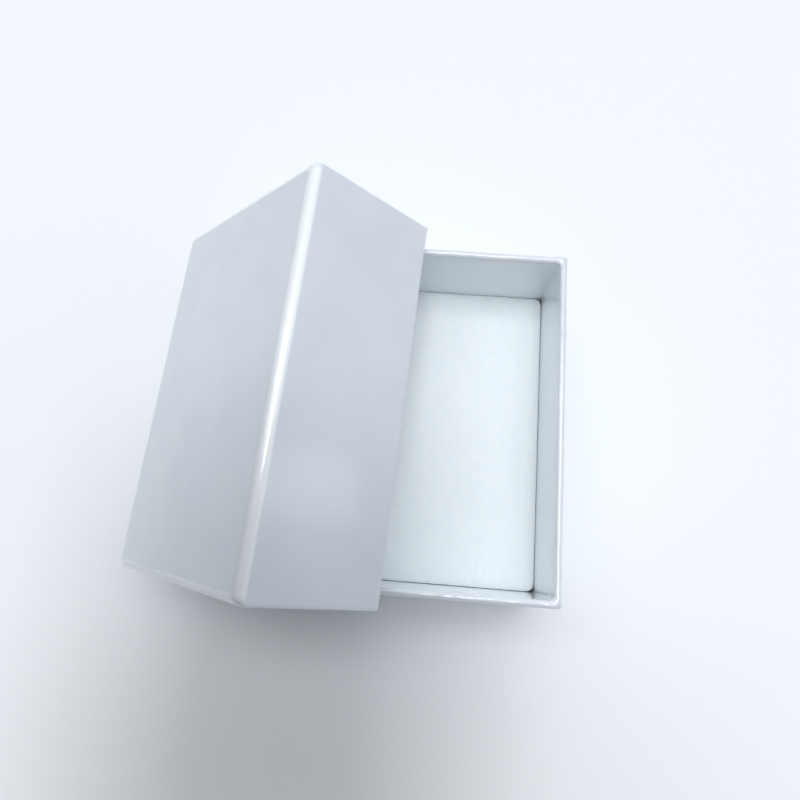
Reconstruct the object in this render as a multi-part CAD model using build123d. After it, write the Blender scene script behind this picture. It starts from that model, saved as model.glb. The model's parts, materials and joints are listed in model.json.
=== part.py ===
from build123d import *
from dataclasses import dataclass
from math import asin, cos, degrees, sin
import os

# A rigid two-piece jewellery gift box: an open tray with a loose pad in it, and its lift-off lid, which
# is off and leans over the tray's left wall. Millimetres, +Z up. The origin is the centre of the tray's
# underside, +X runs across the tray's width and +Y along its length.

# Driving dimensions
TRAY_LENGTH = 78.0      # outside, along Y
TRAY_WIDTH = 51.0       # outside, along X
TRAY_HEIGHT = 32.0
LID_HEIGHT = 31.0
BOARD = 1.2             # greyboard
PAPER = 0.15            # wrap and liner paper
STAY = 0.1              # corner stay tape, pressed flush into the board
STAY_REACH = 9.0        # how far a stay laps onto each of its two walls
STAY_BELOW_RIM = 1.5    # from the top of a stay to the board's edge
FOLD_RADIUS = 2.0       # outside, where the panel folds into a wall
CORNER_RADIUS = 0.6     # outside, the upright corners
RIM_RADIUS = 0.5        # where the wrap turns over the board's edge
SLIP = 0.5              # gap on each side between tray and lid when the box is closed
TRAY_TURN_IN = 24.0     # how far the wrap runs down inside the walls
LID_TURN_IN = 16.0

PAD_HEIGHT = 8.8
PAD_SIDE_GAP = 0.7      # between the pad and the tray's long walls
PAD_END_GAP = 0.3       # between the pad and the tray's end walls
PAD_TOP_RADIUS = 1.2
PAD_CORNER_RADIUS = 1.6
PAD_FOOT_RADIUS = 0.5
COVER = 0.4             # nonwoven cover of the pad
COVER_TUCK = 9.0        # how far the cover is turned under the foam

# How the lid leans: on the rim of its left wall and over the tray's left wall
LID_HOOK = 6.7          # depth of the tray's rim inside the lid's open side
LID_RIM_ABOVE = 7.3     # height of the lid's raised rim above the tray's rim
LID_PINCH = 0.265       # gap left at the tray's two corners that the turned lid closes on

WALL = BOARD + 2 * PAPER
LID_LENGTH = TRAY_LENGTH + 2 * (SLIP + WALL)
LID_WIDTH = TRAY_WIDTH + 2 * (SLIP + WALL)
MARGIN = 1.0            # how far a cutting shape runs past what it cuts


@dataclass
class Half:
    """Outside size of a tray or lid, standing on its panel with its open side up."""

    name: str
    length: float
    width: float
    height: float
    turn_in: float


def block(half, inset, top):
    """The outside form of a half, drawn in by inset on every side but its top, which is at the height given."""
    width, length = half.width - 2 * inset, half.length - 2 * inset
    solid = Pos(0, 0, inset) * extrude(RectangleRounded(width, length, CORNER_RADIUS - inset), top - inset)
    return fillet(solid.faces().sort_by(Axis.Z)[0].edges(), FOLD_RADIUS - inset)


def room(half, inset, top):
    """A square-cornered space inside a half, inset from its walls and its panel, up to the top given."""
    outline = Rectangle(half.width - 2 * inset, half.length - 2 * inset)
    return Pos(0, 0, inset) * extrude(outline, top - inset)


def shell(half, skin):
    """An open box whose faces all lie skin inside the faces of the finished wall."""
    rim = half.height - skin
    solid = block(half, skin, rim) - room(half, WALL - skin, half.height + MARGIN)
    return fillet(solid.edges().filter_by_position(Axis.Z, rim, rim), RIM_RADIUS - skin)


def wedges(half):
    """One wedge for the panel and one for each wall, which meet on the mitres between the inner corners
    of the finished walls and the outer ones."""
    width, length, top = half.width, half.length, half.height + MARGIN
    inner_width, inner_length = width - 2 * WALL, length - 2 * WALL
    upright = Plane(origin=(0, 0, 0), x_dir=(0, 1, 0), z_dir=(1, 0, 0))
    panel = loft([Pos(0, 0, WALL) * Rectangle(inner_width, inner_length), Rectangle(width, length)])
    cuts = {"panel": panel}
    for side, turn, reach, run, inner_run in (
        ("right", 0, width / 2, length, inner_length),
        ("back", 90, length / 2, width, inner_width),
        ("left", 180, width / 2, length, inner_length),
        ("front", 270, length / 2, width, inner_width),
    ):
        inner = upright.offset(reach - WALL) * Pos(0, (WALL + top) / 2) * Rectangle(inner_run, top - WALL)
        outer = upright.offset(reach) * Pos(0, top / 2) * Rectangle(run, top)
        cuts[side] = Rot(0, 0, turn) * loft([inner, outer], ruled=True)
    return cuts


def stays(half):
    """The four corner tapes, by the corner that each one holds."""
    low, high = FOLD_RADIUS, half.height - PAPER - STAY_BELOW_RIM
    size = half.width - 2 * PAPER, half.length - 2 * PAPER
    outline = RectangleRounded(*size, CORNER_RADIUS - PAPER)
    inside = RectangleRounded(*(side - 2 * STAY for side in size), CORNER_RADIUS - PAPER - STAY)
    band = Pos(0, 0, low) * extrude(outline - inside, high - low)
    tapes = {}
    for row, along in (("front", -1), ("back", 1)):
        for column, across in (("left", -1), ("right", 1)):
            corner = Pos(across * size[0] / 2, along * size[1] / 2, half.height / 2)
            tapes[f"{row}_{column}"] = band & corner * Box(2 * STAY_REACH, 2 * STAY_REACH, half.height)
    return tapes


def make_half(half):
    """Every piece of a tray or lid, by node name, standing with its open side up.

    The board is one scored blank: its panel and walls meet on the mitres of the scores. The wrap is one
    sheet: its panel and its four flaps, each of which runs up a wall, over the rim and down inside, meet
    on the same folds. The liner covers the rest of the inside, up to the edge of the turned-in flaps.
    """
    cuts, tapes = wedges(half), stays(half)
    board = shell(half, PAPER)
    skin = shell(half, 0) - board
    inside = room(half, WALL - 1.5 * PAPER, half.height - half.turn_in)
    liner = skin & inside
    wrap = skin - inside
    for tape in tapes.values():
        board -= tape
    pieces = {f"{half.name}_board": Compound(children=[board & cut for cut in cuts.values()])}
    pieces[f"{half.name}_wrap"] = Compound(children=[wrap & cut for cut in cuts.values()])
    pieces[f"{half.name}_liner"] = liner
    for corner, tape in tapes.items():
        pieces[f"{half.name}_stay_{corner}"] = tape
    return pieces


def pad_block(inset, tuck_inset):
    """The pad's form drawn in by inset, standing on the tray's liner; its foot is raised by tuck_inset."""
    width = TRAY_WIDTH - 2 * (WALL + PAD_SIDE_GAP + inset)
    length = TRAY_LENGTH - 2 * (WALL + PAD_END_GAP + inset)
    low, high = WALL + tuck_inset, WALL + PAD_HEIGHT - inset
    solid = Pos(0, 0, low) * extrude(RectangleRounded(width, length, PAD_CORNER_RADIUS - inset), high - low)
    solid = fillet(solid.faces().sort_by(Axis.Z)[-1].edges(), PAD_TOP_RADIUS - inset)
    return fillet(solid.faces().sort_by(Axis.Z)[0].edges(), PAD_FOOT_RADIUS - inset)


def make_pad():
    """The foam and its cover, which wraps the top and sides and is turned in under the foam's edge."""
    whole, filling = pad_block(0, 0), pad_block(COVER, COVER)
    width = TRAY_WIDTH - 2 * (WALL + PAD_SIDE_GAP + COVER_TUCK)
    length = TRAY_LENGTH - 2 * (WALL + PAD_END_GAP + COVER_TUCK)
    bare_foot = Pos(0, 0, WALL) * extrude(Rectangle(width, length), COVER)
    foam = filling + bare_foot
    return {"pad_foam": foam, "pad_cover": whole - foam}


def lid_place():
    """Where the lid stands: turned over, leaning on its left rim, its raised right rim over the tray.

    The lean follows from the height of the raised rim, the turn about Z from the slack along the tray,
    and the ridge, which is the sharp corner between panel and right wall, from the table and the tray.
    """
    lean = asin((TRAY_HEIGHT + LID_RIM_ABOVE) / LID_WIDTH)
    nose = LID_HOOK / sin(lean)
    turn = asin(2 * (SLIP - LID_PINCH) / nose)
    rounding = RIM_RADIUS * (sin(lean) + cos(lean) - 1)
    ridge_z = LID_WIDTH * sin(lean) + LID_HEIGHT * cos(lean) - rounding
    depth = LID_HEIGHT - LID_HOOK + (TRAY_HEIGHT - ridge_z) * cos(lean)
    ridge_x = -TRAY_WIDTH / 2 - depth / sin(lean)
    nose_middle = (nose - TRAY_WIDTH) / 2
    ridge_y = (nose_middle - ridge_x) * sin(turn) / cos(turn)
    ridge = Pos(ridge_x, ridge_y, ridge_z)
    return ridge * Rot(0, 0, -degrees(turn)) * Rot(0, 180 - degrees(lean), 0) * Pos(LID_WIDTH / 2, 0, 0)


tray = Half("tray", TRAY_LENGTH, TRAY_WIDTH, TRAY_HEIGHT, TRAY_TURN_IN)
lid = Half("lid", LID_LENGTH, LID_WIDTH, LID_HEIGHT, LID_TURN_IN)
leaning = lid_place()
nodes = {**make_half(tray), **make_pad()}
nodes.update({name: leaning * piece for name, piece in make_half(lid).items()})

os.makedirs("parts", exist_ok=True)
for name, piece in nodes.items():
    export_step(piece, f"parts/{name}.step")
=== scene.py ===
"""Looks of a two-piece rigid paper gift box: a wrapped tray with a loose pad, and its leaning lid."""

import json
import logging
import math
from dataclasses import dataclass
from enum import Enum

import bmesh
import bpy
import numpy as np
from bpy.types import Material, Mesh, Node, NodeSocket, NodeTree, Object
from mathutils import Matrix, Vector, noise
from mathutils.bvhtree import BVHTree


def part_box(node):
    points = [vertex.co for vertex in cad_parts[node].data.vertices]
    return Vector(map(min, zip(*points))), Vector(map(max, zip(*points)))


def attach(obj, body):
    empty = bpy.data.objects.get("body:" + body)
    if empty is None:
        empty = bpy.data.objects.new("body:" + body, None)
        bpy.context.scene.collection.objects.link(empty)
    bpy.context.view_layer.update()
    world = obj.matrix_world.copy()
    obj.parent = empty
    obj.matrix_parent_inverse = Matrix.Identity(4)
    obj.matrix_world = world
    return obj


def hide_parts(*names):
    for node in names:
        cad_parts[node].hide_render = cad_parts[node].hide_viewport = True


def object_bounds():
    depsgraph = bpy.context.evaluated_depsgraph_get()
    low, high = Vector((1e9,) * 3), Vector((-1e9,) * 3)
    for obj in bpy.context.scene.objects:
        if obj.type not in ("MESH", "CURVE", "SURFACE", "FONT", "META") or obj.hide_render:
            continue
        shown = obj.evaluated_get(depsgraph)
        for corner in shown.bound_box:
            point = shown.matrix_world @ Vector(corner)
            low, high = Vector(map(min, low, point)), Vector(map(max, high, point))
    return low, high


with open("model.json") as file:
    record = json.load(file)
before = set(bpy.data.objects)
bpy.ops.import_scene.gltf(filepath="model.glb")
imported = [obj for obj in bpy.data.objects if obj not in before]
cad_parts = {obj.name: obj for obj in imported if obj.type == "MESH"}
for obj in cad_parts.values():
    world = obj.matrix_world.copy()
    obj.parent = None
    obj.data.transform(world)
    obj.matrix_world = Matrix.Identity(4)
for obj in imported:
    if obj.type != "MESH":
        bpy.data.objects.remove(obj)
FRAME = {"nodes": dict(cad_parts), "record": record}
CAD_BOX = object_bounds()
MM = 0.001
COLOUR_LOW, COLOUR_HIGH, COLOUR_OUT = 6, 7, 2  # the colour sockets of a Mix node, whose names repeat
SAME_DIRECTION, RIGHT_ANGLE = 0.9995, 0.02  # cosines that two face directions are judged by
TINY = 1e-9
LOG = logging.getLogger("gift_box")


class Slot(Enum):
    """The record's material slots."""

    GREYBOARD = "greyboard"
    WRAP = "gloss_wrap_paper"
    LINER = "liner_paper"
    STAY = "stay_tape"
    FOAM = "pad_foam"
    NONWOVEN = "pad_nonwoven"


class Zone(Enum):
    """Which stretch of the wrapped sheet a ring of points lies on."""

    PANEL = 0
    FOLD = 1
    WALL = 2
    RIM = 3
    TURN_IN = 4
    BACK = 5


# ---------------------------------------------------------------- colours and nodes


def linear(hex_code: str) -> tuple[float, float, float, float]:
    """Turns an sRGB colour to linear light.

    Args:
        hex_code: the colour as "#RRGGBB".

    Returns:
        Linear red, green, blue and an alpha of 1.
    """
    channels = (int(hex_code[start : start + 2], 16) / 255 for start in (1, 3, 5))
    red, green, blue = (
        value / 12.92 if value <= 0.04045 else ((value + 0.055) / 1.055) ** 2.4 for value in channels
    )
    return red, green, blue, 1.0


def add_node(tree: NodeTree, kind: str, settings: dict, inputs: dict) -> Node:
    """Adds a node with its settings and links.

    Args:
        tree: the node tree.
        kind: the node's type, such as "ShaderNodeBump".
        settings: properties of the node, by name.
        inputs: its sockets by name or number; another node's output is linked, anything else is set.

    Returns:
        The new node.
    """
    node = tree.nodes.new(kind)
    for name, value in settings.items():
        setattr(node, name, value)
    for name, value in inputs.items():
        if isinstance(value, NodeSocket):
            tree.links.new(value, node.inputs[name])
        else:
            node.inputs[name].default_value = value
    return node


def new_material(name: str) -> tuple[Material, NodeTree, NodeSocket]:
    """Starts an empty node material.

    Args:
        name: the material's name.

    Returns:
        The material, its node tree and the object coordinates in metres.
    """
    material = bpy.data.materials.new(name)
    material.use_nodes = True
    tree = material.node_tree
    tree.nodes.clear()
    coordinates = add_node(tree, "ShaderNodeTexCoord", {}, {})
    return material, tree, coordinates.outputs["Object"]


def finish_material(tree: NodeTree, inputs: dict) -> None:
    """Ends a material with its surface shader and output.

    Args:
        tree: the node tree.
        inputs: the shader's sockets.
    """
    shader = add_node(tree, "ShaderNodeBsdfPrincipled", {}, inputs)
    add_node(tree, "ShaderNodeOutputMaterial", {}, {"Surface": shader.outputs["BSDF"]})


def shaded(
    tree: NodeTree, share: NodeSocket, low: object, high: object, span: tuple[float, float]
) -> NodeSocket:
    """Shades one colour into another as a pattern goes from the start to the end of a span.

    Args:
        tree: the node tree.
        share: the pattern, as a value.
        low: the colour up to the span's start, linear or another node's output.
        high: the colour from its end on.
        span: the pattern's values where the shading starts and ends.

    Returns:
        The colour.
    """
    limits = {"Value": share, "From Min": span[0], "From Max": span[1]}
    spread = add_node(tree, "ShaderNodeMapRange", {}, limits).outputs["Result"]
    colours = {"Factor": spread, COLOUR_LOW: low, COLOUR_HIGH: high}
    return add_node(tree, "ShaderNodeMix", {"data_type": "RGBA"}, colours).outputs[COLOUR_OUT]


def uneven(tree: NodeTree, place: NodeSocket, size_mm: float, depth_mm: float, detail: float) -> NodeSocket:
    """Makes a surface uneven, in soft blotches.

    Args:
        tree: the node tree.
        place: the coordinates in metres.
        size_mm: the size of one blotch.
        depth_mm: how deep the surface goes.
        detail: how many finer layers it has.

    Returns:
        The surface's direction.
    """
    blotch = {"Vector": place, "Scale": 1 / (size_mm * MM), "Detail": detail}
    height = add_node(tree, "ShaderNodeTexNoise", {}, blotch).outputs[0]
    return add_node(tree, "ShaderNodeBump", {}, {"Height": height, "Distance": depth_mm * MM}).outputs["Normal"]


def finish_from_pattern(
    tree: NodeTree,
    pattern: NodeSocket,
    colours: tuple[str, str],
    span: tuple[float, float],
    depth_mm: float,
    roughness: float,
) -> None:
    """Ends a material whose colour and relief both follow one pattern.

    Args:
        tree: the node tree.
        pattern: the pattern, as a value.
        colours: the colours of its low and its high places.
        span: the pattern's values where the shading starts and ends.
        depth_mm: the depth of the relief.
        roughness: how matt the surface is.
    """
    bump = {"Height": pattern, "Distance": depth_mm * MM}
    low, high = (linear(colour) for colour in colours)
    inputs = {
        "Base Color": shaded(tree, pattern, low, high, span),
        "Roughness": roughness,
        "Normal": add_node(tree, "ShaderNodeBump", {}, bump).outputs["Normal"],
    }
    finish_material(tree, inputs)


def fibres(tree: NodeTree, place: NodeSocket, turn: float, width_mm: float, run_mm: float) -> NodeSocket:
    """Draws noise out into fibres that lie in the XY plane.

    Args:
        tree: the node tree.
        place: the coordinates in metres.
        turn: the direction of the fibres, in degrees from X.
        width_mm: the width of one fibre.
        run_mm: its length.

    Returns:
        The pattern as a value from 0 to 1.
    """
    drawn_out = {
        "Vector": place,
        "Rotation": (0, 0, math.radians(turn)),
        "Scale": (run_mm * MM, width_mm * MM, width_mm * MM),
    }
    mapping = add_node(tree, "ShaderNodeMapping", {"vector_type": "TEXTURE"}, drawn_out)
    inputs = {"Vector": mapping.outputs[0], "Scale": 1.0, "Detail": 1.0, "Distortion": 0.6}
    return add_node(tree, "ShaderNodeTexNoise", {}, inputs).outputs[0]


# ---------------------------------------------------------------- finishes


@dataclass(frozen=True)
class GlossLaminatedArtPaper:
    """White art paper with a gloss film rolled onto it: a cool even white under a clear hard shine,
    with the faint orange peel of the film and the slow waves of the board that it is glued to.
    The stretch turned in over the rim is painted a shade lighter than the outside: painted light, for the
    brighter light inside the tray. The film is drawn thin and whitened where the paper goes round a long
    scored fold, and is painted brighter there: the paper's whitening and a painted highlight along the fold."""

    white: str = "#DBE2EA"
    cloud: str = "#D6DDE6"
    # painted light: the turned-in stretch's lighter copy of the white, for the brighter light inside the tray
    painted_light_inside: str = "#F4F9FD"
    # the long folds' colour: the paper's whitening together with a painted highlight
    fold_white_and_highlight: str = "#F6FAFD"
    cloud_mm: float = 14.0
    peel_mm: float = 2.4  # the real peel is under a millimetre, and is drawn coarser so that it shows
    peel_depth_mm: float = 0.0016
    wave_mm: float = 11.0
    wave_depth_mm: float = 0.012
    handled_mm: float = 3.0
    roughness: tuple[float, float] = (0.26, 0.36)

    def build(self) -> Material:
        """Makes the material.

        Returns:
            The material.
        """
        material, tree, place = new_material("gloss_laminated_art_paper")
        clouds = add_node(tree, "ShaderNodeTexNoise", {}, {"Vector": place, "Scale": 1 / (self.cloud_mm * MM)})
        tone = shaded(tree, clouds.outputs[0], linear(self.cloud), linear(self.white), (0.35, 0.65))
        # painted light on the turned-in stretch, and whitening with a painted highlight on the long folds
        for name, colour in (("turned_in", self.painted_light_inside), ("scored_fold_highlight", self.fold_white_and_highlight)):
            stretch = add_node(tree, "ShaderNodeAttribute", {"attribute_name": name}, {}).outputs["Fac"]
            tone = shaded(tree, stretch, tone, linear(colour), (0.0, 1.0))
        peel = {"Vector": place, "Scale": 1 / (self.peel_mm * MM), "Detail": 0.0}
        bump = {
            "Height": add_node(tree, "ShaderNodeTexNoise", {}, peel).outputs[0],
            "Distance": self.peel_depth_mm * MM,
            "Normal": uneven(tree, place, self.wave_mm, self.wave_depth_mm, 1.0),
        }
        handled = add_node(tree, "ShaderNodeTexNoise", {}, {"Vector": place, "Scale": 1 / (self.handled_mm * MM)})
        dulled = {"Value": handled.outputs[0], "To Min": self.roughness[0], "To Max": self.roughness[1]}
        inputs = {
            "Base Color": tone,
            "Roughness": add_node(tree, "ShaderNodeMapRange", {}, dulled).outputs["Result"],
            "IOR": 1.5,
            "Coat Weight": 1.0,
            "Coat Roughness": 0.12,
            "Coat IOR": 1.5,
            "Normal": add_node(tree, "ShaderNodeBump", {}, bump).outputs["Normal"],
        }
        finish_material(tree, inputs)
        return material


@dataclass(frozen=True)
class UncoatedLinerPaper:
    """Woodfree liner paper, calendered but not coated: a flat soft white with a trace of fibre."""

    white: str = "#EEF3F8"
    fibre: str = "#E4EAF0"
    lay_deg: float = 20.0
    fibre_mm: float = 0.12  # a bundle of pulp fibres, each about 0.03 mm thick
    run_mm: float = 1.4
    depth_mm: float = 0.01

    def build(self) -> Material:
        """Makes the material.

        Returns:
            The material.
        """
        material, tree, place = new_material("uncoated_liner_paper")
        hair = fibres(tree, place, self.lay_deg, self.fibre_mm, self.run_mm)
        finish_from_pattern(tree, hair, (self.fibre, self.white), (0.3, 0.6), self.depth_mm, 0.75)
        return material


@dataclass(frozen=True)
class Greyboard:
    """Recycled greyboard, pressed in layers: warm grey with darker flecks of old print."""

    grey: str = "#9A958C"
    fleck: str = "#6F6A62"
    fleck_mm: float = 0.5
    depth_mm: float = 0.05

    def build(self) -> Material:
        """Makes the material.

        Returns:
            The material.
        """
        material, tree, place = new_material("recycled_greyboard")
        pressed = {"Vector": place, "Scale": 1 / (self.fleck_mm * MM), "Detail": 6.0}
        flecks = add_node(tree, "ShaderNodeTexNoise", {}, pressed).outputs[0]
        finish_from_pattern(tree, flecks, (self.fleck, self.grey), (0.36, 0.52), self.depth_mm, 0.9)
        return material


@dataclass(frozen=True)
class KraftStayTape:
    """Gummed kraft paper tape: brown, with long machine-direction fibres and a slight glaze."""

    brown: str = "#B48A5E"
    dark: str = "#946E48"
    lay_deg: float = 85.0
    fibre_mm: float = 0.1  # a bundle of kraft fibres
    run_mm: float = 2.4
    depth_mm: float = 0.02

    def build(self) -> Material:
        """Makes the material.

        Returns:
            The material.
        """
        material, tree, place = new_material("gummed_kraft_tape")
        hair = fibres(tree, place, self.lay_deg, self.fibre_mm, self.run_mm)
        finish_from_pattern(tree, hair, (self.dark, self.brown), (0.3, 0.6), self.depth_mm, 0.55)
        return material


@dataclass(frozen=True)
class PolyurethaneFoam:
    """Cut block foam: open cells about half a millimetre across give a matt, pitted off-white,
    whose pits are painted darker: painted shade in the cells' hollows.
    """

    white: str = "#F2F0E6"
    pit_shade: str = "#CFCBBD"
    cell_mm: float = 0.5
    pit_mm: float = 0.12

    def build(self) -> Material:
        """Makes the material.

        Returns:
            The material.
        """
        material, tree, place = new_material("cut_polyurethane_foam")
        open_cells = {"Vector": place, "Scale": 1 / (self.cell_mm * MM)}
        cells = add_node(tree, "ShaderNodeTexVoronoi", {}, open_cells).outputs["Distance"]
        # the pits are painted darker than the cell walls: painted shade
        finish_from_pattern(tree, cells, (self.pit_shade, self.white), (0.1, 0.5), self.pit_mm, 0.95)
        return material


@dataclass(frozen=True)
class BrushedNonwoven:
    """Brushed polyester nonwoven: a soft matt white felt of crossing fibres with a slight nap, whose
    fibres, drawn a little coarse so that they show, catch the light as fine short streaks. The hollows
    between the fibres are painted a shade darker: painted shade."""

    white: str = "#FAFEFF"
    hollow_shade: str = "#F1F9FF"
    fibre_mm: float = 0.22  # the real fibres are about 0.02 mm thick, and are drawn coarser to show
    run_mm: float = 2.2
    fibre_depth_mm: float = 0.07
    felt_mm: float = 2.2
    felt_depth_mm: float = 0.16
    lay_deg: tuple[float, float, float] = (12, 74, 131)

    def build(self) -> Material:
        """Makes the material.

        Returns:
            The material.
        """
        material, tree, place = new_material("brushed_nonwoven")
        layers = [fibres(tree, place, turn, self.fibre_mm, self.run_mm) for turn in self.lay_deg]
        web = layers[0]
        for layer in layers[1:]:
            web = add_node(tree, "ShaderNodeMath", {"operation": "MAXIMUM"}, {0: web, 1: layer}).outputs[0]
        bump = {
            "Height": web,
            "Distance": self.fibre_depth_mm * MM,
            "Normal": uneven(tree, place, self.felt_mm, self.felt_depth_mm, 3.0),
        }
        inputs = {
            # the hollows between the fibres are painted darker: painted shade
            "Base Color": shaded(tree, web, linear(self.hollow_shade), linear(self.white), (0.42, 0.66)),
            "Roughness": 0.95,
            "Sheen Weight": 0.25,
            "Sheen Roughness": 0.4,
            "Normal": add_node(tree, "ShaderNodeBump", {}, bump).outputs["Normal"],
        }
        finish_material(tree, inputs)
        return material


@dataclass(frozen=True)
class SeamlessBackdropPaper:
    """Matt studio backdrop paper: a plain pale floor with no pattern to draw the eye."""

    white: str = "#F3F5F7"
    tooth_mm: float = 1.5
    depth_mm: float = 0.01

    def build(self) -> Material:
        """Makes the material.

        Returns:
            The material.
        """
        material, tree, place = new_material("seamless_backdrop_paper")
        tooth = uneven(tree, place, self.tooth_mm, self.depth_mm, 2.0)
        finish_material(tree, {"Base Color": linear(self.white), "Roughness": 0.9, "Normal": tooth})
        return material


@dataclass(frozen=True)
class BlackCard:
    """Black studio card, matt coated: it only takes light away."""

    black: str = "#1C1C1E"
    worn: str = "#161618"
    blotch_mm: float = 2.0

    def build(self) -> Material:
        """Makes the material.

        Returns:
            The material.
        """
        material, tree, place = new_material("black_studio_card")
        blotch = add_node(tree, "ShaderNodeTexNoise", {}, {"Vector": place, "Scale": 1 / (self.blotch_mm * MM)})
        tone = shaded(tree, blotch.outputs[0], linear(self.worn), linear(self.black), (0.3, 0.7))
        finish_material(tree, {"Base Color": tone, "Roughness": 0.8})
        return material


# ---------------------------------------------------------------- meshes


def add_object(name: str, data: bpy.types.ID) -> Object:
    """Adds an object of a mesh, a lamp or a camera to the scene."""
    piece = bpy.data.objects.new(name, data)
    bpy.context.scene.collection.objects.link(piece)
    return piece


def points_of(mesh: Mesh) -> np.ndarray:
    """Reads the points of a mesh, in its own units."""
    return np.array([vertex.co for vertex in mesh.vertices])


def make_piece(name: str, points: np.ndarray, faces: list, material: Material) -> Object:
    """Makes a smooth-shaded mesh object.

    Args:
        name: the piece's name.
        points: its points in metres, in the row frame.
        faces: its faces, as lists of point numbers.
        material: its finish.

    Returns:
        The object, linked to the scene.
    """
    mesh = bpy.data.meshes.new(name)
    mesh.from_pydata(points.tolist(), [], faces)
    mesh.polygons.foreach_set("use_smooth", [True] * len(mesh.polygons))
    mesh.materials.append(material)
    mesh.update()
    return add_object(name, mesh)


def field(points: np.ndarray, size_mm: float, seed: float) -> np.ndarray:
    """Draws smooth noise at each point.

    Args:
        points: places in millimetres, one in each row.
        size_mm: the size of one wave.
        seed: a shift that gives another pattern.

    Returns:
        A value from about -1 to 1 for each point.
    """
    shift = Vector((seed, seed * 0.37, -seed * 0.71))
    return np.array([noise.noise(Vector(point) / size_mm + shift) for point in points])


@dataclass(frozen=True)
class Stand:
    """Where one half of the box stands: its panel's centre, its axes and its outside size in millimetres.
    The axes are across, along and up, from the panel towards the open side."""

    centre: np.ndarray
    axes: np.ndarray
    width: float
    length: float
    height: float

    @classmethod
    def read(cls, node: str) -> "Stand":
        """Finds the stand of a wrapped half from its CAD node.

        Args:
            node: the name of the CAD wrap.

        Returns:
            Its stand.
        """
        mesh = FRAME["nodes"][node].data
        normals = np.array([face.normal for face in mesh.polygons])
        areas = np.array([face.area for face in mesh.polygons])
        middles = np.array([face.center for face in mesh.polygons]) / MM
        points = points_of(mesh) / MM
        alike = np.abs(normals @ normals.T) > SAME_DIRECTION
        across = normals[np.argmax(alike @ areas)]
        square = np.abs(normals @ across) < RIGHT_ANGLE
        second = normals[np.argmax((alike @ areas) * square)]
        third = np.cross(across, second)
        reach = [np.ptp(points @ axis) for axis in (second, third)]
        along, up = (second, third) if reach[0] > reach[1] else (third, second)
        along = along if along[1] > 0 else -along
        panel = np.abs(normals @ up) > SAME_DIRECTION
        level = np.average(middles[panel] @ up, weights=areas[panel])
        up = up if level < np.mean([np.min(points @ up), np.max(points @ up)]) else -up
        across = np.cross(along, up)
        axes = np.stack([across, along, up])
        low, high = (points @ axes.T).min(0), (points @ axes.T).max(0)
        middle = np.array([(low[0] + high[0]) / 2, (low[1] + high[1]) / 2, low[2]])
        return cls(middle @ axes, axes, *(high - low))

    def to_world(self, points: np.ndarray) -> np.ndarray:
        """Turns points in local millimetres into metres of the row frame."""
        return (points @ self.axes + self.centre) * MM

    def to_local(self, node: str) -> np.ndarray:
        """Reads the points of a CAD node in local millimetres."""
        return (points_of(FRAME["nodes"][node].data) / MM - self.centre) @ self.axes.T


@dataclass(frozen=True)
class Ring:
    """One loop of the wrapped sheet: how far in from the outside it lies, how high, how round its corners
    are, and the stretch it belongs to."""

    inset: float
    rise: float
    corner: float
    zone: Zone


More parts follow.
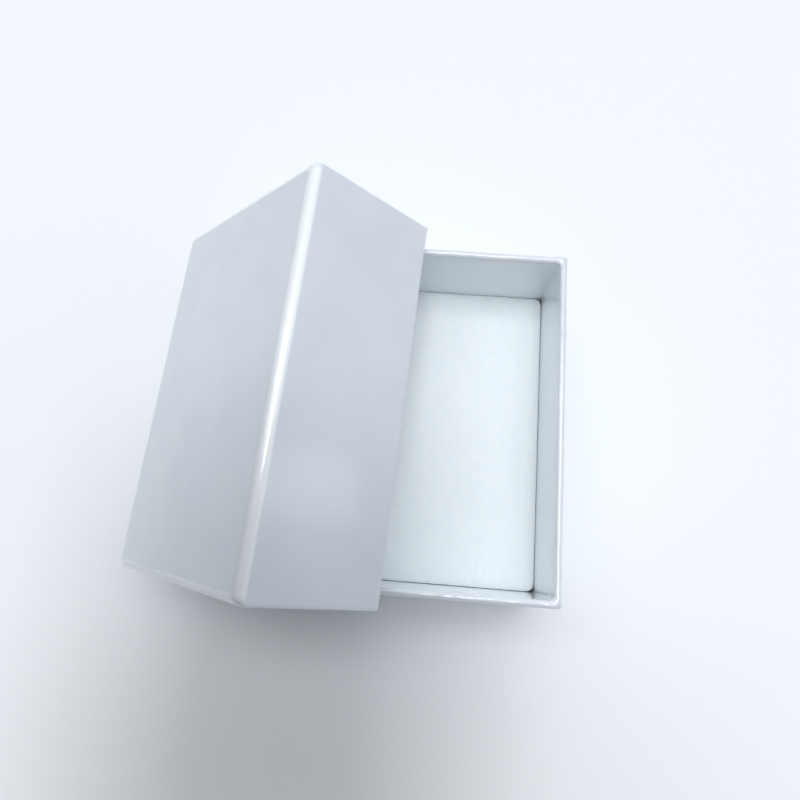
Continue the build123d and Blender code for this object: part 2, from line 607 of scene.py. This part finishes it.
@dataclass
class PaperWrap:
    """The outer paper of one half: one sheet over the panel and walls, over the rim and down inside.
    Lengths are in millimetres."""

    name: str
    body: str
    node: str
    liner: str
    seed: float
    # the sheet's true shape
    paper: float = 0.15
    wall: float = 1.5
    fold_radius: float = 2.0
    corner_radius: float = 0.6
    crown_radius: float = 0.35
    rim_radius: float = 0.66
    web_radius: float = 1.25
    inner_corner: float = 0.35
    web_depth: float = 1.3
    liner_gap: float = 0.05
    rim_hold: float = 0.45  # how far across the rim its corners stay as sharp as outside
    spacing: float = 0.62
    corner_steps: int = 9
    seam: float = 1.1  # from the corner to the edge of the side flap that is glued under the end's
    seam_step: float = 0.07
    seam_cut: float = 0.0009  # a share of a wall's half length
    # how far the sheet strays from its true shape, and where
    creases: tuple = ((17.0, 1, 0), (2.4, 0.25, 5), (4.5, 0.3, 13), (0.9, 1, 9))  # size, squeeze, seed
    loose_wave: float = 0.03
    glued_wave: float = 0.012
    rim_reach: float = 1.1
    rim_ripple: float = 0.075
    rim_crinkle: float = 0.045
    fold_middle: float = 0.6
    fold_reach: float = 1.6
    fold_kink: float = 0.03
    fold_crinkle: float = 0.012
    corner_reach: float = 2.2
    corner_crinkle: float = 0.12
    corner_lift: float = 0.08
    groove: float = 0.085
    groove_depth: float = 1.25
    groove_width: float = 0.45
    inner_play: float = 0.03
    outer_play: float = 0.2
    # painted light: the turned-in stretch painted lighter, the long folds whitened with a painted highlight
    painted_light_slope: float = 1.8
    tilt_span: tuple[float, float] = (0.02, 0.22)
    fold_highlight_from: float = 0.4
    fold_highlight_fade: float = 1.4

    def arc(self, centre: tuple[float, float], radius: float, start: float, stop: float, steps: int) -> list:
        """Lists the points of an arc in the sheet's section, both ends included.

        Args:
            centre: its centre, as inset and rise.
            radius: its radius.
            start: the angle it starts at, in degrees.
            stop: the angle it ends at.
            steps: how many steps it is divided into.

        Returns:
            The points, as pairs of inset and rise.
        """
        turns = np.radians(np.linspace(start, stop, steps + 1))
        return [(centre[0] + radius * math.cos(t), centre[1] + radius * math.sin(t)) for t in turns]

    def ring(self, stand: Stand, inset: float, rise: float, zone: Zone) -> Ring:
        """Rounds the corners of one loop: sharp down the walls, round where the fold's and the rim's gather.

        Args:
            stand: where the half stands.
            inset: how far in from the outside the loop lies.
            rise: how far it lies from the panel's outside.
            zone: the stretch it belongs to.

        Returns:
            The loop.
        """
        gather = math.exp(-(((stand.height - rise) / self.web_depth) ** 2))
        inner = self.inner_corner + (self.web_radius - self.inner_corner) * gather
        outer = self.corner_radius + self.crown_radius * math.exp(-((rise / self.fold_radius) ** 2))
        over = (inset / self.wall - self.rim_hold) / (1 - self.rim_hold)
        share = min(1.0, max(0.0, over)) if rise > stand.height / 4 else 0.0
        return Ring(inset, rise, outer * (1 - share) + inner * share, zone)

    def rings(self, stand: Stand) -> list[Ring]:
        """Lists the loops of the sheet, from the panel's outside over the rim to its back.

        Args:
            stand: where the half stands.

        Returns:
            The loops in order, with the sheet's two faces joined at the turned-in edge.
        """
        fold, rim, half = self.fold_radius, self.rim_radius, stand.width / 2
        edge = stand.to_local(self.liner)[:, 2].max() + self.liner_gap
        low, high = fold, stand.height - rim
        back_fold, back_rim, back_wall = fold - self.paper, rim - self.paper, self.wall - self.paper
        outer, inner = (rim, high), (self.wall - rim, high)
        # loops lie closer together where the sheet bends
        insets = [*np.linspace(half - 1.5, 6.0, 14), 4.6, 3.6, 2.8, 2.3]
        steps = [0.25, 0.6, *np.arange(1.4, high - low - 1.4, 1.3)]
        depths = [0.2, 0.5, 0.9, 1.4, 2.0, 2.8, *np.arange(3.8, high - edge - 0.4, 1.4)]
        lip = [(self.wall, edge + 0.12), (self.wall - 0.03, edge), (back_wall, edge)]
        stretches = (
            (Zone.PANEL, [(inset, 0.0) for inset in insets]),
            (Zone.FOLD, self.arc((fold, fold), fold, -90, -180, 14)),
            (Zone.WALL, [(0.0, low + step) for step in steps]),
            (Zone.WALL, [(0.0, high - gap) for gap in (0.9, 0.5, 0.2)]),
            (Zone.RIM, self.arc(outer, rim, 180, 90, 8)),
            (Zone.RIM, self.arc(inner, rim, 90, 0, 8)),
            (Zone.TURN_IN, [(self.wall, high - depth) for depth in depths]),
            (Zone.TURN_IN, lip),
            (Zone.BACK, [(back_wall, (edge + high) / 2)]),
            (Zone.BACK, self.arc(inner, back_rim, 0, 90, 4)),
            (Zone.BACK, self.arc(outer, back_rim, 90, 180, 4)),
            (Zone.BACK, [(self.paper, rise) for rise in np.linspace(high, low, 5)[1:-1]]),
            (Zone.BACK, self.arc((fold, fold), back_fold, 180, 270, 4)),
            (Zone.BACK, [(half - 1.5, self.paper)]),
        )
        return [self.ring(stand, inset, rise, zone) for zone, pairs in stretches for inset, rise in pairs]

    def outline(self, stand: Stand, ring: Ring) -> np.ndarray:
        """Lays out the loop of a ring, anticlockwise seen from the open side.

        Args:
            stand: where the half stands.
            ring: the ring.

        Returns:
            Its points across and along, in local millimetres.
        """
        half_width, half_length = stand.width / 2 - ring.inset, stand.length / 2 - ring.inset
        points = []
        for quarter in range(4):
            turn = math.pi / 2 * quarter
            spin = np.array([[math.cos(turn), math.sin(turn)], [-math.sin(turn), math.cos(turn)]])
            near, far = (half_width, half_length) if quarter % 2 == 0 else (half_length, half_width)
            corner = min(ring.corner, near, far)
            full = (stand.length if quarter % 2 == 0 else stand.width) / 2
            run = np.linspace(-1, 1, int(2 * full / self.spacing))
            lap, cut = 1 - self.seam / full, self.seam_cut
            run = np.sort(np.concatenate([run, [-lap - cut, -lap + cut, lap - cut, lap + cut]]))
            side = np.stack([np.full(run.shape, near), run * (far - corner)], 1)
            angles = np.linspace(0, math.pi / 2, self.corner_steps + 2)[1:-1]
            bend = np.stack([near - corner + corner * np.cos(angles), far - corner + corner * np.sin(angles)], 1)
            points.append(np.concatenate([side, bend]) @ spin)
        return np.concatenate(points)

    def roughen(self, stand: Stand, grid: np.ndarray, rings: list[Ring]) -> tuple[np.ndarray, dict]:
        """Gives the sheet the unevenness of hand-wrapped paper.

        Args:
            stand: where the half stands.
            grid: the points, by ring and place along it, in local millimetres.
            rings: the rings of the grid.

        Returns:
            The moved points, and how much painted light each takes, from 0 to 1: lighter on the turned-in
            stretch, and whitening with a painted highlight on the fold.
        """
        normal = np.cross(np.roll(grid, -1, 1) - np.roll(grid, 1, 1), np.gradient(grid, axis=0))
        normal /= np.maximum(np.linalg.norm(normal, axis=2, keepdims=True), TINY)
        zone = np.array([ring.zone.value for ring in rings])[:, None] * np.ones(grid.shape[1])
        front = zone < Zone.BACK.value
        folding = zone == Zone.FOLD.value
        turned_in = zone == Zone.TURN_IN.value
        depth = stand.height - grid[:, :, 2]
        to_side = stand.width / 2 - np.abs(grid[:, :, 0])
        to_end = stand.length / 2 - np.abs(grid[:, :, 1])
        near_rim = np.exp(-((depth / self.rim_reach) ** 2)) * front
        near_fold = np.exp(-(((grid[:, :, 2] - self.fold_middle) / self.fold_reach) ** 2)) * folding
        near_corner = np.exp(-((np.maximum(to_side, to_end) / self.corner_reach) ** 2)) * front
        under_rim = np.exp(-(((depth - self.groove_depth) / self.groove_width) ** 2)) * turned_in

        waves, ripple, kink, crinkle = (
            field(grid.reshape(-1, 3) * (1, 1, stretch), size, self.seed + shift).reshape(grid.shape[:2])
            for size, stretch, shift in self.creases
        )
        move = waves * np.where(turned_in, self.glued_wave, self.loose_wave) * front
        move += near_rim * (self.rim_ripple * ripple + self.rim_crinkle * crinkle)
        move += near_fold * (self.fold_kink * kink + self.fold_crinkle * crinkle)
        move -= self.groove * under_rim * (1 + 0.5 * ripple)
        move += near_corner * near_rim * (self.corner_crinkle * crinkle + self.corner_lift)
        under_lap = (to_end < self.wall + 0.01) & (to_side > self.seam)
        outside = (zone == Zone.WALL.value) | (zone == Zone.RIM.value)
        move += self.seam_step * (under_lap & outside)
        inset = np.array([ring.inset for ring in rings])[:, None] / self.wall
        over_rim = (zone >= Zone.RIM.value) * front
        most = self.inner_play + (1 - inset) * self.outer_play
        move = np.where(over_rim, np.minimum(move, most), move)

        # painted light: the turned-in stretch shaded lighter, fully so on the inner side of the rim and down
        # inside
        turned = np.clip(1 - (1 - inset) * self.painted_light_slope, 0, 1) * over_rim
        # painted highlight: the long folds painted whiter where they bend, partly the paper's whitening
        tilt = np.abs(normal[:, :, 2])
        off_axis = np.minimum(tilt, np.sqrt(np.maximum(1 - tilt**2, 0)))
        bent = np.interp(off_axis, self.tilt_span, (0, 1))
        folded = bent * folding * np.clip((to_end - self.fold_highlight_from) / self.fold_highlight_fade, 0, 1)
        return grid + normal * move[:, :, None], {"turned_in": turned, "scored_fold_highlight": folded}

    def build(self, material: Material) -> None:
        """Builds the sheet, puts it on its body and hides the CAD wrap.

        Args:
            material: the paper's finish.
        """
        stand = Stand.read(self.node)
        rings = self.rings(stand)
        loops = [(self.outline(stand, ring), ring.rise) for ring in rings]
        grid = np.stack([np.column_stack([loop, np.full(len(loop), rise)]) for loop, rise in loops])
        grid, shares = self.roughen(stand, grid, rings)
        rows, columns = grid.shape[:2]
        index = np.arange(rows * columns).reshape(rows, columns)
        after = np.roll(index, -1, 1)
        quads = np.stack([index[:-1], index[1:], after[1:], after[:-1]], -1).reshape(-1, 4)
        faces = quads.tolist() + [index[0].tolist(), index[-1][::-1].tolist()]
        piece = make_piece(self.name, stand.to_world(grid.reshape(-1, 3)), faces, material)
        mesh = piece.data
        for name, share in shares.items():
            attribute = mesh.attributes.new(name, "FLOAT", "POINT")
            attribute.data.foreach_set("value", share.reshape(-1).astype(np.float32))
        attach(piece, self.body)
        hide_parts(self.node)
        LOG.info("%s: %d faces on %s", piece.name, len(mesh.polygons), self.body)


@dataclass
class Pad:
    """The loose pad: a nonwoven cover with its edge turned under, around a block of foam.
    Lengths are in millimetres."""

    body: str = "pad"
    cover_node: str = "pad_cover"
    foam_node: str = "pad_foam"
    cloth: float = 0.35
    spread: tuple[float, float, float] = (0.66, 0.27, -0.05)  # the blank, past the CAD cover each way
    room: tuple[float, float, float] = (0.635, 0.245, 0.15)  # the finished cover, past the CAD cover
    corner_radius: float = 1.6
    edge_radius: float = 0.8
    front_play: float = 0.03
    tight_fit: float = 1.003
    plan_radius: float = 2.0
    brim_height: float = 9.0
    brim_reach: float = 0.9
    brim_width: float = 3.0
    foot_lift: float = 0.02
    dimple_mm: float = 9.0
    dimple: float = 0.10
    nap_mm: float = 2.6
    nap: tuple[float, float, float] = (0.02, 0.02, 0.035)
    tuck: float = 9.0
    voxel: float = 0.7
    swell_cap: float = 0.7
    model_scale: float = 20.0
    pressure: float = 3.0
    tension: float = 40.0
    bending: float = 6.0
    frames: int = 16
    lint_count: int = 360
    lint_steps: int = 5
    lint_length: tuple[float, float] = (0.5, 2.2)
    lint_thick: tuple[float, float] = (0.02, 0.045)
    lint_bend: float = 1.1
    lint_loft: float = 3.0
    lint_tip: float = 0.35
    lint_field: float = 0.96

    def blank(self) -> Object:
        """Makes the pad before its cover is stretched: a block with rounded edges, at the model's scale.

        Returns:
            The block.
        """
        low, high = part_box(self.cover_node)
        size = (high - low) / MM + Vector(self.spread) * 2
        form = bmesh.new()
        bmesh.ops.create_cube(form, size=1.0, matrix=Matrix.Diagonal((*size, 1)))
        upright = [edge for edge in form.edges if abs((edge.verts[0].co - edge.verts[1].co).z) > size.z / 2]
        bmesh.ops.bevel(form, geom=upright, offset=self.corner_radius, segments=5, profile=0.5, affect="EDGES")
        rims = [
            edge
            for edge in form.edges
            if len({round(vertex.co.z, 3) for vertex in edge.verts}) == 1
            and edge.is_manifold
            and abs(sum(face.normal.z for face in edge.link_faces)) > 0.5
            and edge.calc_face_angle(0) > 0.8
        ]
        bmesh.ops.bevel(form, geom=rims, offset=self.edge_radius, segments=4, profile=0.5, affect="EDGES")
        bmesh.ops.scale(form, vec=(self.model_scale * MM,) * 3, verts=form.verts)
        mesh = bpy.data.meshes.new("pad_cover_cloth")
        form.to_mesh(mesh)
        form.free()
        return add_object("pad_cover_cloth", mesh)

    def apply(self, piece: Object) -> None:
        """Applies every modifier of a piece to its mesh.

        Args:
            piece: the piece.
        """
        bpy.context.view_layer.update()
        graph = bpy.context.evaluated_depsgraph_get()
        mesh = bpy.data.meshes.new_from_object(piece.evaluated_get(graph))
        piece.modifiers.clear()
        piece.data = mesh

    def swell(self, piece: Object) -> None:
        """Remeshes the blank finely and lets pressure stretch it like a cover over foam.

        Args:
            piece: the blank.
        """
        remesh = piece.modifiers.new("remesh", "REMESH")
        remesh.mode = "VOXEL"
        remesh.voxel_size = self.voxel * self.model_scale * MM
        remesh.use_smooth_shade = True
        self.apply(piece)
        unit = self.model_scale * MM
        before = points_of(piece.data) / unit
        cloth = piece.modifiers.new("cloth", "CLOTH")
        settings = cloth.settings
        settings.use_pressure = True
        settings.uniform_pressure_force = self.pressure
        settings.tension_stiffness = self.tension
        settings.bending_stiffness = self.bending
        settings.effector_weights.gravity = 0
        cloth.point_cache.frame_start, cloth.point_cache.frame_end = 1, self.frames
        for frame in range(1, self.frames + 1):
            bpy.context.scene.frame_set(frame)
        self.apply(piece)
        bpy.context.scene.frame_set(1)
        move = points_of(piece.data) / unit - before
        far = np.linalg.norm(move, axis=1, keepdims=True)
        self.settle(piece, before + move * np.minimum(1, self.swell_cap / np.maximum(far, TINY)))

    def settle(self, piece: Object, points: np.ndarray) -> None:
        """Puts the swollen cover in its seat: its foot flat, its brim close to the tray's walls.

        Args:
            piece: the cover, whose mesh takes the points.
            points: its points in millimetres, from the middle of the pad.
        """
        low, high = (np.array(corner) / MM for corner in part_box(self.cover_node))
        side, end, crown = self.room
        floor, ceiling = low - (side, end - self.front_play, -self.foot_lift), high + (side, end, crown)
        middle = (low + high) / 2
        fill = (ceiling - floor) / 2 / np.abs(points).max(0) * self.tight_fit
        points = points * (fill[0], fill[1], 1) + (floor + ceiling) / 2 * (1, 1, 0) + middle * (0, 0, 1)
        points += field(points, self.dimple_mm, 31.0)[:, None] * (0, 0, self.dimple)
        points += field(points, self.nap_mm, 37.0)[:, None] * self.nap
        foot = points[:, 2] < low[2] + self.edge_radius * 0.35
        points[foot, 2] = np.maximum(points[foot, 2], low[2] + self.foot_lift)
        brim = np.sqrt(np.clip(1 - (ceiling[2] - points[:, 2]) / self.brim_height, 0, 1))[:, None]
        near_side = np.abs(points) > ceiling - self.brim_width
        points += brim * self.brim_reach * np.sign(points) * near_side * (1, 1, 0)
        points = np.clip(points, floor, ceiling)
        place, core = points[:, :2], (ceiling - self.plan_radius)[:2]
        over = np.maximum(np.abs(place) - core, 0)
        far = np.linalg.norm(over, axis=1, keepdims=True)
        pull = np.minimum(1, self.plan_radius / np.maximum(far, TINY))
        points[:, :2] = np.sign(place) * (np.minimum(np.abs(place), core) + over * pull)
        piece.data.vertices.foreach_set("co", (points * MM).reshape(-1))

    def build(self, fabric: Material, foam: Material) -> None:
        """Builds the cover and the foam inside it.

        Args:
            fabric: the cover's finish.
            foam: the foam's finish.
        """
        cover = self.blank()
        self.swell(cover)
        block = add_object("pad_foam_block", cover.data.copy())
        self.draw_in(block, self.cloth + 0.03)
        self.open_foot(cover)
        thick = cover.modifiers.new("thick", "SOLIDIFY")
        thick.thickness, thick.offset, thick.use_even_offset = self.cloth * MM, -1, False
        fine = cover.modifiers.new("fine", "SUBSURF")
        fine.levels = fine.render_levels = 1
        self.apply(cover)
        for piece, material, node, slot in (
            (cover, fabric, self.cover_node, Slot.NONWOVEN),
            (block, foam, self.foam_node, Slot.FOAM),
        ):
            piece.data.materials.clear()
            piece.data.materials.append(material)
            piece.data.polygons.foreach_set("use_smooth", [True] * len(piece.data.polygons))
            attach(piece, self.body)
            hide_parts(node)
            LOG.info("%s: %d faces on %s", piece.name, len(piece.data.polygons), self.body)
        self.lint(cover, fabric)

    def draw_in(self, piece: Object, depth: float) -> None:
        """Draws a closed mesh in along its normals.

        Args:
            piece: the piece.
            depth: how far, in millimetres.
        """
        normals = np.array([vertex.normal for vertex in piece.data.vertices])
        moved = points_of(piece.data) - normals * depth * MM
        piece.data.vertices.foreach_set("co", moved.reshape(-1))

    def open_foot(self, piece: Object) -> None:
        """Cuts the opening that the turned-in edge of the cover leaves under the foam.

        Args:
            piece: the cover.
        """
        low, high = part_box(self.cover_node)
        tuck = self.tuck * MM
        form = bmesh.new()
        form.from_mesh(piece.data)
        inside = []
        for face in form.faces:
            middle = face.calc_center_median()
            within = all(low[axis] + tuck < middle[axis] < high[axis] - tuck for axis in (0, 1))
            if face.normal.z < -0.8 and within:
                inside.append(face)
        bmesh.ops.delete(form, geom=inside, context="FACES")
        form.to_mesh(piece.data)
        form.free()

    def lint(self, cover: Object, fabric: Material) -> None:
        """Lays loose fibre ends on the cover, as a brushed nonwoven has.

        Args:
            cover: the cover that they lie on.
            fabric: its finish.
        """
        draw = np.random.default_rng(11)
        tree = BVHTree.FromObject(cover, bpy.context.evaluated_depsgraph_get())
        low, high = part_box(self.cover_node)
        up, last = Vector((0, 0, 1)), self.lint_steps
        points, faces = [], []
        for _ in range(self.lint_count):
            spot = Vector((draw.uniform(low.x, high.x), draw.uniform(low.y, high.y), 0)) * self.lint_field
            heading, length = draw.uniform(0, 2 * math.pi), draw.uniform(*self.lint_length) * MM
            bend, thick = draw.normal(0, self.lint_bend), draw.uniform(*self.lint_thick) * MM
            path = []
            for step in range(last + 1):
                angle = heading + bend * step / last
                spot = spot + Vector((math.cos(angle), math.sin(angle), 0)) * length / last
                hit = tree.ray_cast(Vector((spot.x, spot.y, high.z + 0.01)), -up)[0]
                if hit is None:
                    break
                path.append(hit + up * thick * (1 + self.lint_loft * math.sin(step / last * math.pi)))
            if len(path) <= last:
                continue
            base = len(points)
            for step, place in enumerate(path):
                ahead = (path[min(step + 1, last)] - path[max(step - 1, 0)]).normalized()
                side = ahead.cross(up).normalized()
                radius = thick * (self.lint_tip if step in (0, last) else 1.0)
                for turn in (0, 2 * math.pi / 3, 4 * math.pi / 3):
                    points.append(place + (side * math.cos(turn) + up * math.sin(turn)) * radius)
            for step in range(last):
                for corner in range(3):
                    first, second = base + 3 * step + corner, base + 3 * step + (corner + 1) % 3
                    faces.append([first, second, second + 3, first + 3])
            end = base + 3 * last
            faces += [[base + 2, base + 1, base], [end, end + 1, end + 2]]
        piece = make_piece("pad_lint", np.array([list(point) for point in points]), faces, fabric)
        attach(piece, self.body)
        LOG.info("%s: %d faces on %s", piece.name, len(faces), self.body)


@dataclass
class HiddenStructure:
    """The CAD pieces whose shape is already right: boards, corner stays and liners."""

    finishes: dict[Slot, Material]

    def dress(self) -> None:
        """Gives each shown CAD node the finish of its slot."""
        for part in FRAME["record"]["subparts"]:
            node = FRAME["nodes"][part["node"]]
            slot = Slot(part["material_slot"])
            if node.hide_render or slot not in self.finishes:
                continue
            node.data.materials.clear()
            node.data.materials.append(self.finishes[slot])
            LOG.info("%s: %s", node.name, self.finishes[slot].name)


@dataclass(frozen=True)
class Glow:
    """A soft glow of the room: its direction in degrees, how narrow it is, and its strength."""

    azimuth: float
    height: float
    focus: float
    strength: float


@dataclass(frozen=True)
class Lamp:
    """A soft rectangular light: where it hangs, the point it faces, its width and depth, and its watts."""

    name: str
    place: tuple[float, float, float]
    aim: tuple[float, float, float]
    size: tuple[float, float]
    power: float


@dataclass
class Studio:
    """The pale floor, the soft lights and the camera. Lengths are in millimetres."""

    eye: tuple[float, float, float] = (-6.0, -27.96, 161.6)
    look_at: tuple[float, float, float] = (-11.85, 9.58, 0.0)
    roll_deg: float = -4.58
    focal: float = 27.19
    floor_reach: float = 1500.0
    floor_cells: int = 12
    cove_bend: float = 500.0
    cove_height: float = 2200.0
    cove_steps: int = 8
    cove_sides: int = 96
    flag_reach: tuple[float, float, float, float] = (-72.0, 6.0, -160.0, -10.0)
    flag_level: float = 166.0
    flag_slope: float = 0.23
    flag_corner: float = 8.0
    flag_thick: float = 8.0
    lamp_tint: str = "#FBFDFF"
    lamps: tuple[Lamp, ...] = (
        Lamp("overhead_lamp", (0, 0, 1500), (0, 0, 0), (440, 400), 6.0),
        Lamp("ceiling_strip", (-225, 400, 1500), (-225, 400, 0), (1950, 345), 6.2),
        Lamp("side_strip", (1100, 0, 640), (0, 0, 0), (150, 1000), 0.75),
    )
    room_tint: str = "#F6FAFF"
    glows: tuple[Glow, ...] = (
        Glow(0, 90, 10, 1.55),
        Glow(60, 52, 8, 0.15),
        Glow(90, 15, 5, 1.4),
        Glow(0, 15, 5, 0.52),
        Glow(270, 15, 5, 0.55),
    )

    def camera(self) -> None:
        """Adds the camera, held close above the box with a short lens."""
        data = bpy.data.cameras.new("camera")
        data.lens = self.focal
        data.clip_start = 1 * MM
        camera = add_object("camera", data)
        eye, target = Vector(self.eye) * MM, Vector(self.look_at) * MM
        back = (eye - target).normalized()
        upward = (Vector((0, 1, 0)) - back * back.y).normalized()
        side = upward.cross(back)
        turned = Matrix.Rotation(-math.radians(self.roll_deg), 3, back)
        frame = Matrix((turned @ side, turned @ upward, back)).transposed()
        camera.matrix_world = Matrix.LocRotScale(eye, frame.to_quaternion(), None)
        bpy.context.scene.camera = camera

    def lights(self) -> None:
        """Hangs the lamps: one overhead, the wide strip behind it that draws the gleam along the lid's
        fold, and the low strip at the side."""
        for lamp in self.lamps:
            data = bpy.data.lights.new(lamp.name, "AREA")
            data.shape = "RECTANGLE"
            data.size, data.size_y = (side * MM for side in lamp.size)
            data.energy = lamp.power
            data.color = linear(self.lamp_tint)[:3]
            light = add_object(lamp.name, data)
            light.location = Vector(lamp.place) * MM
            direction = Vector(lamp.aim) - Vector(lamp.place)
            light.rotation_euler = direction.to_track_quat("-Z", "Y").to_euler()
            light.visible_camera = False
        bpy.context.scene.view_settings.view_transform = "Standard"

    def flag(self) -> None:
        """Adds the black card beside the lens, unseen by the camera, which keeps the overhead light
        off the near end of the lid as the camera's own body does."""
        form = bmesh.new()
        left, right, near, far = self.flag_reach
        for x, y in ((left, near), (right, near), (right, far), (left, far)):
            level = self.flag_level + (y - far) * self.flag_slope
            form.verts.new((x * MM, y * MM, level * MM))
        form.faces.new(form.verts)
        corner = self.flag_corner * MM
        bmesh.ops.bevel(form, geom=list(form.verts), offset=corner, segments=6, profile=0.5, affect="VERTICES")
        extruded = bmesh.ops.extrude_face_region(form, geom=list(form.faces))["geom"]
        lifted = [part for part in extruded if isinstance(part, bmesh.types.BMVert)]
        bmesh.ops.translate(form, vec=(0, 0, self.flag_thick * MM), verts=lifted)
        mesh = bpy.data.meshes.new("flag")
        form.to_mesh(mesh)
        form.free()
        card = add_object("flag", mesh)
        card.visible_camera = False
        mesh.materials.append(BlackCard().build())

    def room(self) -> None:
        """Adds the light of the room: broad soft glows from its walls, each brightest in one direction."""
        world = bpy.data.worlds.new("room")
        world.use_nodes = True
        tree = world.node_tree
        tree.nodes.clear()
        place = add_node(tree, "ShaderNodeTexCoord", {}, {}).outputs["Generated"]
        ray = add_node(tree, "ShaderNodeVectorMath", {"operation": "NORMALIZE"}, {0: place}).outputs[0]
        total = None
        for glow in self.glows:
            azimuth, height = math.radians(glow.azimuth), math.radians(glow.height)
            axis = (math.cos(height) * math.cos(azimuth), math.cos(height) * math.sin(azimuth), math.sin(height))
            turn = add_node(tree, "ShaderNodeVectorMath", {"operation": "DOT_PRODUCT"}, {0: ray, 1: axis})
            offset = {0: turn.outputs["Value"], 1: glow.focus, 2: -glow.focus}
            fall = add_node(tree, "ShaderNodeMath", {"operation": "MULTIPLY_ADD"}, offset)
            share = add_node(tree, "ShaderNodeMath", {"operation": "EXPONENT"}, {0: fall.outputs[0]})
            scaled = {0: share.outputs[0], 1: glow.strength, 2: 0.0 if total is None else total}
            total = add_node(tree, "ShaderNodeMath", {"operation": "MULTIPLY_ADD"}, scaled).outputs[0]
        sky = add_node(tree, "ShaderNodeBackground", {}, {"Color": linear(self.room_tint), "Strength": total})
        add_node(tree, "ShaderNodeOutputWorld", {}, {"Surface": sky.outputs[0]})
        bpy.context.scene.world = world

    def floor(self, material: Material) -> None:
        """Adds the floor at the level that the box stands on.

        Args:
            material: the floor's finish.
        """
        reach, count = self.floor_reach * MM, self.floor_cells
        line = np.linspace(-reach, reach, count + 1)
        points = np.array([(x, y, CAD_BOX[0][2]) for y in line for x in line])
        starts = [row * (count + 1) + column for row in range(count) for column in range(count)]
        faces = [[start + step for step in (0, 1, count + 2, count + 1)] for start in starts]
        make_piece("floor", points, faces, material)

    def cove(self, material: Material) -> None:
        """Adds the curved backdrop that closes the view behind the floor. No light or reflection meets it.

        Args:
            material: the backdrop's finish.
        """
        radius, bend, level = self.floor_reach, self.cove_bend, CAD_BOX[0][2] / MM
        rises = np.linspace(0, math.pi / 2, self.cove_steps + 1)
        profile = [(radius - bend + bend * math.sin(t), bend - bend * math.cos(t)) for t in rises]
        profile.append((radius, self.cove_height))
        count = self.cove_sides
        turns = np.linspace(0, 2 * math.pi, count, endpoint=False)
        points = np.array([(r * math.cos(t), r * math.sin(t), z + level) for r, z in profile for t in turns])
        starts = range(0, (len(profile) - 1) * count, count)
        corners = [(here, (here + 1) % count) for here in range(count)]
        faces = [[at + a, at + count + a, at + count + b, at + b] for at in starts for a, b in corners]
        wall = make_piece("backdrop", points * MM, faces, material)
        wall.visible_diffuse = wall.visible_glossy = wall.visible_shadow = False

    def build(self) -> None:
        """Sets up the camera, the lights and everything round the box."""
        self.camera()
        self.flag()
        self.lights()
        self.room()
        backdrop = SeamlessBackdropPaper().build()
        self.floor(backdrop)
        self.cove(backdrop)


def main() -> None:
    """Builds the studio and the box, and reports each piece."""
    logging.basicConfig(level=logging.INFO, format="%(name)s %(message)s")
    Studio().build()
    paper = GlossLaminatedArtPaper().build()
    PaperWrap("tray_wrap_paper", "tray", "tray_wrap", "tray_liner", seed=3.1).build(paper)
    PaperWrap("lid_wrap_paper", "lid", "lid_wrap", "lid_liner", seed=11.7).build(paper)
    Pad().build(BrushedNonwoven().build(), PolyurethaneFoam().build())
    finishes = {
        Slot.GREYBOARD: Greyboard().build(),
        Slot.LINER: UncoatedLinerPaper().build(),
        Slot.STAY: KraftStayTape().build(),
    }
    HiddenStructure(finishes).dress()


if __name__ == "__main__":
    main()
